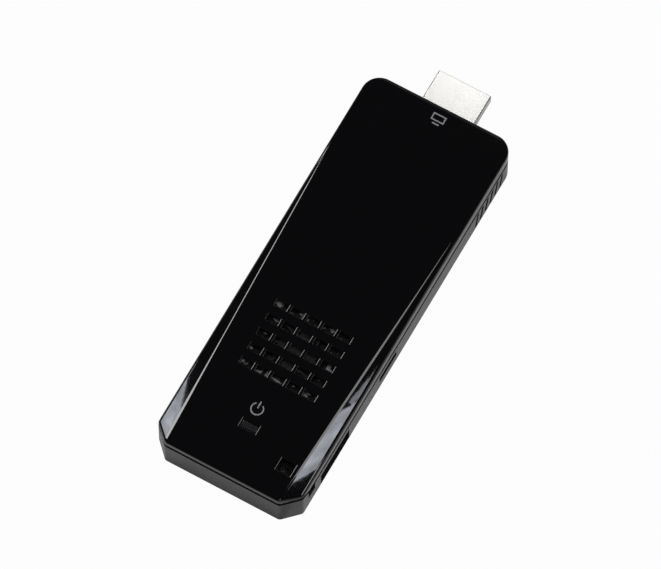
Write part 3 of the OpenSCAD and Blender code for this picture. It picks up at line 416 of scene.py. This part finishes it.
# Towards the plug the creases get sharper: distance from the tail in mm, and the share of the round that is
# left there, on the left and on the right.
CREASE_TAPER = ((0, 1.15, 1), (12, 1.05, 1), (16, 0.8, 1), (22, 0.58, 1), (30, 0.36, 1), (40, 0.36, 0.97),
                (71, 0.34, 0.23), (81.45, 0, 0))
INK_ROOM = 0.015 * MM  # the lid stays this far below the frame's top, so that the print fits
# The vents' left ends, where the core parts from the lid, come out of the tool sharper than the right ones.
LEFT_END_SHARE = 0.4
lid_low, lid_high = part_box("top_cover")


def from_crease(point):
    """How far out a point of the lid's top lies from the line where panel and facet meet."""
    return abs(point.x) - (SIDE - FACET_WIDTH) - (point.y - TAIL) * FACET_WIDTH / FACET_RUN


def on_crease(point):
    """Whether a point of the lid belongs to the round of a crease."""
    return (abs(from_crease(point)) < 1.05 * CREASE_ROUND and point.z > lid_high.z - 0.2 * MM
            and point.y < CREASE_END + NEAR)


lid = merged("top_cover")
facets = [f for f in lid.faces if 0.9 < f.normal.z < 0.98 and f.calc_center_median().z > 11 * MM
          and abs(f.calc_center_median().x) > 14 * MM and f.calc_area() > 50 * MM * MM]
# The facets end where crease and edge meet, and from there on the panel reaches the edge.
cut(lid, facets, 1, CREASE_END)
runout = ridges(lid, 12, 25, lambda ends, normals: min(v.y for v in ends) > CREASE_END - MERGE
                and min(v.z for v in ends) > lid_high.z - MERGE)
bmesh.ops.dissolve_edges(lid, edges=runout, use_verts=False)
# The rims of the slots are rounded, the vents' left ends drawn in again, then edge and creases rounded.
rims = ridges(lid, 60, 120, lambda ends, normals: min(v.z for v in ends) > lid_high.z - MERGE
              and not any(map(on_skin, ends)))
left_ends = [(e.verts[0].co.x, [v.co.y for v in e.verts]) for e in rims
             if max(f.normal.x for f in e.link_faces) > 0.9 and e.verts[0].co.y > lens_high.y + MM]
round_over(lid, rims, SLOT_ROUND, 3, slide=False)
for wall, ends in left_ends:
    for vert in lid.verts:
        if (wall - 1.05 * SLOT_ROUND < vert.co.x <= wall and vert.co.z > lid_high.z - 1.05 * SLOT_ROUND
                and min(ends) - 1.05 * SLOT_ROUND < vert.co.y < max(ends) + 1.05 * SLOT_ROUND):
            vert.co.x = wall + (vert.co.x - wall) * LEFT_END_SHARE
round_over(lid, ridges(lid, 30, 120, lambda ends, normals: all(map(on_skin, ends))
                       and min(n.z for n in normals) > -0.1), EDGE_ROUND, 6)
round_over(lid, ridges(lid, 12, 25, lambda ends, normals: min(n.z for n in normals) > 0.9
                       and (ends[0] - ends[1]).length > 30 * MM), CREASE_ROUND, 3)
# The creases' rounds are cut across at each place of the taper, scaled there, and brought to a point.
cut(lid, [f for f in lid.faces if abs(f.normal.x) > 0.02 and f.normal.z > 0.02
          and f.calc_area() > 5 * MM * MM], 1, CREASE_END - FADE)
for along, *_ in CREASE_TAPER[1:-1]:
    cut(lid, [f for f in lid.faces if all(on_crease(v.co) for v in f.verts)], 1, TAIL + along * MM)
tips = [v for v in lid.verts if on_crease(v.co) and v.co.y > CREASE_END - 0.1 * MM]
for vert in lid.verts:
    if on_crease(vert.co):
        along, out = (vert.co.y - TAIL) / MM, from_crease(vert.co)
        for before, after in zip(CREASE_TAPER, CREASE_TAPER[1:]):
            if before[0] <= along <= after[0]:
                part = (along - before[0]) / (after[0] - before[0])
                column = 1 if vert.co.x < 0 else 2
                share = before[column] + (after[column] - before[column]) * part
                vert.co.x -= math.copysign(1, vert.co.x) * out * (1 - share)
                vert.co.z = lid_high.z - (lid_high.z - vert.co.z) * share
                break
for vert in tips:
    vert.co = math.copysign(SIDE - EDGE_ROUND, vert.co.x), CREASE_END, lid_high.z
bmesh.ops.remove_doubles(lid, verts=tips, dist=MERGE)
for edge in lid.edges:
    near, far = sorted((v.co for v in edge.verts), key=lambda point: point.y)
    if near.y < CREASE_END - MERGE and abs(far.y - CREASE_END) + abs(abs(far.x) - SIDE + EDGE_ROUND) < MERGE:
        edge.seam = True
round_over(lid, ridges(lid, 60, 120, lambda ends, normals: all(map(on_skin, ends))
                       and min(n.z for n in normals) < -0.5), RIM_ROUND, 3)
for vert in lid.verts:
    vert.co.z -= INK_ROOM * (vert.co.z - lid_low.z) / (lid_high.z - lid_low.z)
# Polished ABS: deep black with a mirror face, very slightly wavy and smeared by handling.
SMEAR, WAVE = 7, 2.5  # mm
piano, tree, shader = new_finish("ABS_piano_black", IOR=1.52, Base_Color=linear(LID_BLACK))
place = add(tree, "ShaderNodeTexCoord", {}).outputs["Object"]
smear = add(tree, "ShaderNodeTexNoise", {"Vector": place, "Scale": 1 / (SMEAR * MM), "Detail": 4.0})
gloss = add(tree, "ShaderNodeMapRange", {"Value": smear.outputs["Fac"], "From Min": NOISE_LOW,
                                         "From Max": NOISE_HIGH, "To Min": 0.012, "To Max": 0.03})
tree.links.new(gloss.outputs["Result"], shader.inputs["Roughness"])
wave = add(tree, "ShaderNodeTexNoise", {"Vector": place, "Scale": 1 / (WAVE * MM), "Detail": 1.0})
bump = add(tree, "ShaderNodeBump", {"Height": wave.outputs["Fac"], "Strength": 0.1, "Distance": 0.01 * MM})
tree.links.new(bump.outputs["Normal"], shader.inputs["Normal"])
finished(lid, "lid", piano, "chassis", "cover_gloss", "top_cover")


# Printed marks: grey pad-printed ink on the lid, a power sign above the lamp window and a screen sign by
# the plug. Each is a film of ink a few micrometres thick, drawn a little thicker so that it has sides.
INK_THICK = 0.012 * MM
POWER_X, POWER_Y, POWER_RING, POWER_LINE = -0.5 * MM, TAIL + 17.3 * MM, 1.45 * MM, 0.34 * MM
POWER_GAP = math.radians(70)
SCREEN_Y, SCREEN_X, SCREEN_W, SCREEN_H = TAIL + 100.9 * MM, 0.4 * MM, 3.4 * MM, 1.9 * MM
INK_BASE = lid_high.z - INK_ROOM


def plate(shape, x, y, width, length):
    """A thin rectangle of ink, centred at x and y."""
    made = bmesh.ops.create_cube(shape, size=1.0)["verts"]
    bmesh.ops.scale(shape, verts=made, vec=(width, length, INK_THICK))
    bmesh.ops.translate(shape, verts=made, vec=(x, y, INK_BASE + INK_THICK / 2))


# Pad-printing ink: mid grey and dry.
ink = grained("pad_printing_ink_grey", "737377", "818186", 0.12, (0.4, 0.5), 0.002, IOR=1.5)
power = bmesh.new()
section = [power.verts.new((0, POWER_RING + a * POWER_LINE / 2, INK_BASE + b * INK_THICK))
           for a, b in ((-1, 0), (1, 0), (1, 1), (-1, 1))]
face = power.faces.new(section)
bmesh.ops.rotate(power, verts=power.verts, cent=(0, 0, 0), matrix=Matrix.Rotation(POWER_GAP / 2, 3, "Z"))
bmesh.ops.spin(power, geom=[face] + list(face.edges) + section, cent=(0, 0, 0), axis=(0, 0, 1),
               angle=2 * math.pi - POWER_GAP, steps=48)
bmesh.ops.recalc_face_normals(power, faces=power.faces)
bmesh.ops.translate(power, verts=power.verts, vec=(POWER_X, POWER_Y, 0))
plate(power, POWER_X, POWER_Y + 0.75 * POWER_RING, POWER_LINE, 1.25 * POWER_RING)
finished(power, "power_sign", ink, "chassis", "cover_gloss")

screen = bmesh.new()
for step in (-1, 1):
    plate(screen, SCREEN_X + step * (SCREEN_W - POWER_LINE) / 2, SCREEN_Y, POWER_LINE, SCREEN_H)
    plate(screen, SCREEN_X, SCREEN_Y + step * (SCREEN_H - POWER_LINE) / 2,
          SCREEN_W - 2 * POWER_LINE, POWER_LINE)
plate(screen, SCREEN_X, SCREEN_Y - SCREEN_H / 2 - 2 * POWER_LINE, SCREEN_W / 2, POWER_LINE)
finished(screen, "screen_sign", ink, "chassis", "cover_gloss")


# Floor: a plain white sheet that the camera sees as white, and that keeps the object's shadow.
# Mirrors see it dimmer, with shade painted by place: a painted contact shadow, darkest at the tail's foot and
# brighter again in front of it, and painted brighter on the right than on the left.
FLOOR_SEEN = 0.97
MIRRORED_LEFT, MIRRORED_RIGHT, PAINTED_FOOT_SHADOW, MIRRORED_FRONT = 0.18, 0.27, 0.03, 0.31
FOOT_SHADE = 2.8 * MM
FLOOR_GAP = 0.05 * MM
scene = bpy.context.scene
scene.view_settings.view_transform = "Standard"
sheet = bmesh.new()
bmesh.ops.create_grid(sheet, x_segments=1, y_segments=1, size=4.0)
bmesh.ops.translate(sheet, verts=sheet.verts, vec=(0, 0, -FLOOR_GAP))
floor_mesh = bpy.data.meshes.new("floor")
sheet.to_mesh(floor_mesh)
sheet.free()
floor = bpy.data.objects.new("floor", floor_mesh)
scene.collection.objects.link(floor)
# Paper: white and matt.
paper, tree, shader = new_finish("white_paper", Base_Color=linear("b4b4b4"), Roughness=0.9)
ray = add(tree, "ShaderNodeLightPath", {})
seen = add(tree, "ShaderNodeMath", {0: ray.outputs["Is Camera Ray"], 1: FLOOR_SEEN}, operation="MULTIPLY")
bounced = add(tree, "ShaderNodeMath",
              {0: ray.outputs["Is Glossy Ray"], 1: ray.outputs["Is Transmission Ray"]}, operation="ADD")
place = add(tree, "ShaderNodeTexCoord", {}).outputs["Object"]
spot = add(tree, "ShaderNodeSeparateXYZ", {"Vector": place})
# Painted shade: the share that mirrors see is set by place, darker on the left than on the right, with a
# painted contact shadow at the tail's foot.
sides = add(tree, "ShaderNodeMapRange", {"Value": spot.outputs["X"], "From Min": 0.0, "From Max": SIDE,
                                         "To Min": MIRRORED_LEFT, "To Max": MIRRORED_RIGHT})
front = add(tree, "ShaderNodeMapRange", {"Value": spot.outputs["Y"], "From Min": TAIL,
                                         "From Max": TAIL - FOOT_SHADE,
                                         "To Min": PAINTED_FOOT_SHADOW, "To Max": MIRRORED_FRONT})
ahead = add(tree, "ShaderNodeMapRange", {"Value": spot.outputs["Y"], "From Min": TAIL + MM, "From Max": TAIL})
painted_mirror_shade = add(tree, "ShaderNodeMix", {0: ahead.outputs["Result"], 2: sides.outputs["Result"],
                                             3: front.outputs["Result"]})
share = add(tree, "ShaderNodeMath", {0: bounced.outputs[0], 1: painted_mirror_shade.outputs[0], 2: seen.outputs[0]},
            operation="MULTIPLY_ADD")
glow = add(tree, "ShaderNodeEmission", {"Color": (1, 1, 1, 1), "Strength": 1.0})
both = add(tree, "ShaderNodeMixShader", {0: share.outputs[0], 1: shader.outputs[0], 2: glow.outputs[0]})
tree.links.new(both.outputs[0], tree.nodes["Material Output"].inputs["Surface"])
floor_mesh.materials.append(paper)


# Camera: a long lens, high above the tail's right corner, as in the photograph.
# Its directions to the right, up and back are those of the picture.
RIGHT = Vector((0.8717, 0.4901, 0.0))
UP = Vector((-0.4519, 0.8038, 0.3869))
BACK = Vector((0.1896, -0.3373, 0.9221))
DISTANCE = 2.01846  # m
SENSOR, LENS = 36, 477.8  # mm
# The middle of the picture: a point inside the casing, and how far left of it and above it the camera aims.
AIM = Vector((0, -4.25 * MM, 6.14 * MM)) - RIGHT * 1.161 * MM + UP * 2.267 * MM
STAND = AIM + BACK * DISTANCE
camera_data = bpy.data.cameras.new("camera")
camera_data.sensor_width, camera_data.lens = SENSOR, LENS
camera = bpy.data.objects.new("camera", camera_data)
camera.matrix_world = Matrix.Translation(STAND) @ Matrix((RIGHT, UP, BACK)).transposed().to_4x4()
scene.collection.objects.link(camera)
scene.camera = camera


# Lights: a dim room, a key behind the camera, and soft boxes that the lid and the plug mirror.
# A broad one on each side draws the bright line along a crease, one draws the lid's right edge, three small
# ones show as patches on the facets, and one whitens the plug's top.
ROOM = 0.03
STRIP_LEAN, EDGE_LEAN = math.radians(9.7), math.radians(26)
STRIP_AWAY, PATCH_AWAY, KEY_AWAY = 0.6, 0.25, 2.4  # m
world = bpy.data.worlds.new("studio")
scene.world = world
world.use_nodes = True
world.node_tree.nodes["Background"].inputs["Color"].default_value = (ROOM, ROOM, ROOM, 1)


def lamp(name, spot, towards, distance, along, width, length, radiance):
    """A soft box: it hangs at a distance from a spot, faces it, and its length runs along a direction."""
    data = bpy.data.lights.new(name, "AREA")
    data.shape = "RECTANGLE"
    data.size, data.size_y = width, length
    data.energy = radiance * math.pi * width * length
    out = towards.normalized()
    lengthwise = (along - out * along.dot(out)).normalized()
    turn = Matrix((lengthwise.cross(out), lengthwise, out)).transposed()
    box = bpy.data.objects.new(name, data)
    box.matrix_world = Matrix.Translation(spot + out * distance) @ turn.to_4x4()
    scene.collection.objects.link(box)
    return data


def mirrored(spot, normal):
    """The direction that the camera sees in a surface at this spot with this normal."""
    view = (STAND - spot).normalized()
    return 2 * view.dot(normal) * normal - view


def leaning(name, spot, run, lean, width, length, radiance):
    """A strip seen in a round that runs along a direction, where the round leans sideways by an angle."""
    normal = Vector((math.sin(lean), 0, math.cos(lean)))
    normal = (normal - run * normal.dot(run) / run.length_squared).normalized()
    lamp(name, spot, mirrored(spot, normal), STRIP_AWAY, run, width, length, radiance)


def facet_strip(name, side, out, along, run, width, length, radiance):
    """A strip whose mirror image lies on a side facet: its middle is so far out from the crease and along
    from the tail, and its length runs that many millimetres outwards for each one along. Soft folds in its
    cloth make it uneven."""
    slope = Vector((side * FACET_WIDTH, 0, -FACET_DROP)).normalized()
    crease_way = Vector((side * FACET_WIDTH, FACET_RUN, 0)).normalized()
    normal = slope.cross(crease_way)
    normal *= math.copysign(1, normal.z)
    spot = Vector((side * (SIDE - FACET_WIDTH), TAIL, lid_high.z)) + slope * out + crease_way * along
    lengthwise = slope * run + crease_way
    data = lamp(name, spot, mirrored(spot, normal), PATCH_AWAY, lengthwise, width, length, radiance)
    data.use_nodes = True
    tree = data.node_tree
    place = add(tree, "ShaderNodeNewGeometry", {}).outputs["Parametric"]
    stretched = add(tree, "ShaderNodeMapping", {"Vector": place, "Scale": (3, 6, 1)}).outputs["Vector"]
    folds = add(tree, "ShaderNodeTexNoise", {"Vector": stretched, "Scale": 1.0, "Detail": 4.0}).outputs["Fac"]
    level = add(tree, "ShaderNodeMapRange", {"Value": folds, "From Min": NOISE_LOW, "From Max": NOISE_HIGH,
                                             "To Min": 0.6, "To Max": 1.3})
    tree.links.new(level.outputs["Result"], tree.nodes["Emission"].inputs["Strength"])
    data.color = linear("f0f4ff")[:3]


leaning("strip_left", Vector((-16 * MM, -24 * MM, lid_high.z)), Vector((-FACET_WIDTH, FACET_RUN, 0)),
        -STRIP_LEAN, width=0.28, length=0.13, radiance=10.0)
leaning("strip_right", Vector((16 * MM, -16.6 * MM, lid_high.z)), Vector((FACET_WIDTH, FACET_RUN, 0)),
        STRIP_LEAN, width=0.28, length=0.082, radiance=4.2)
leaning("edge_right", Vector((SIDE, TAIL + 9 * MM, 11 * MM)), Vector((0, FACET_RUN, FACET_DROP)),
        EDGE_LEAN, width=0.24, length=0.016, radiance=6.0)
facet_strip("patch_left", side=-1, out=3.75 * MM, along=10 * MM, run=0.3,
            width=6.8 * MM, length=24 * MM, radiance=8.5)
facet_strip("patch_right", side=1, out=2.2 * MM, along=20.5 * MM, run=0.45,
            width=9.4 * MM, length=38 * MM, radiance=8.0)
facet_strip("patch_right_end", side=1, out=1.55 * MM, along=34.4 * MM, run=0.12,
            width=1.3 * MM, length=12 * MM, radiance=4.4)
plug_spot = Vector((0, NOSE + 14 * MM, plug_high.z))
lamp("plug_top", plug_spot, mirrored(plug_spot, Vector((0, 0, 1))), PATCH_AWAY, Vector((0, 1, 0)),
     width=41 * MM, length=31 * MM, radiance=2.12)
lamp("key", Vector((0, 0, 0)), BACK, KEY_AWAY, UP, width=0.95, length=0.95, radiance=9.0)
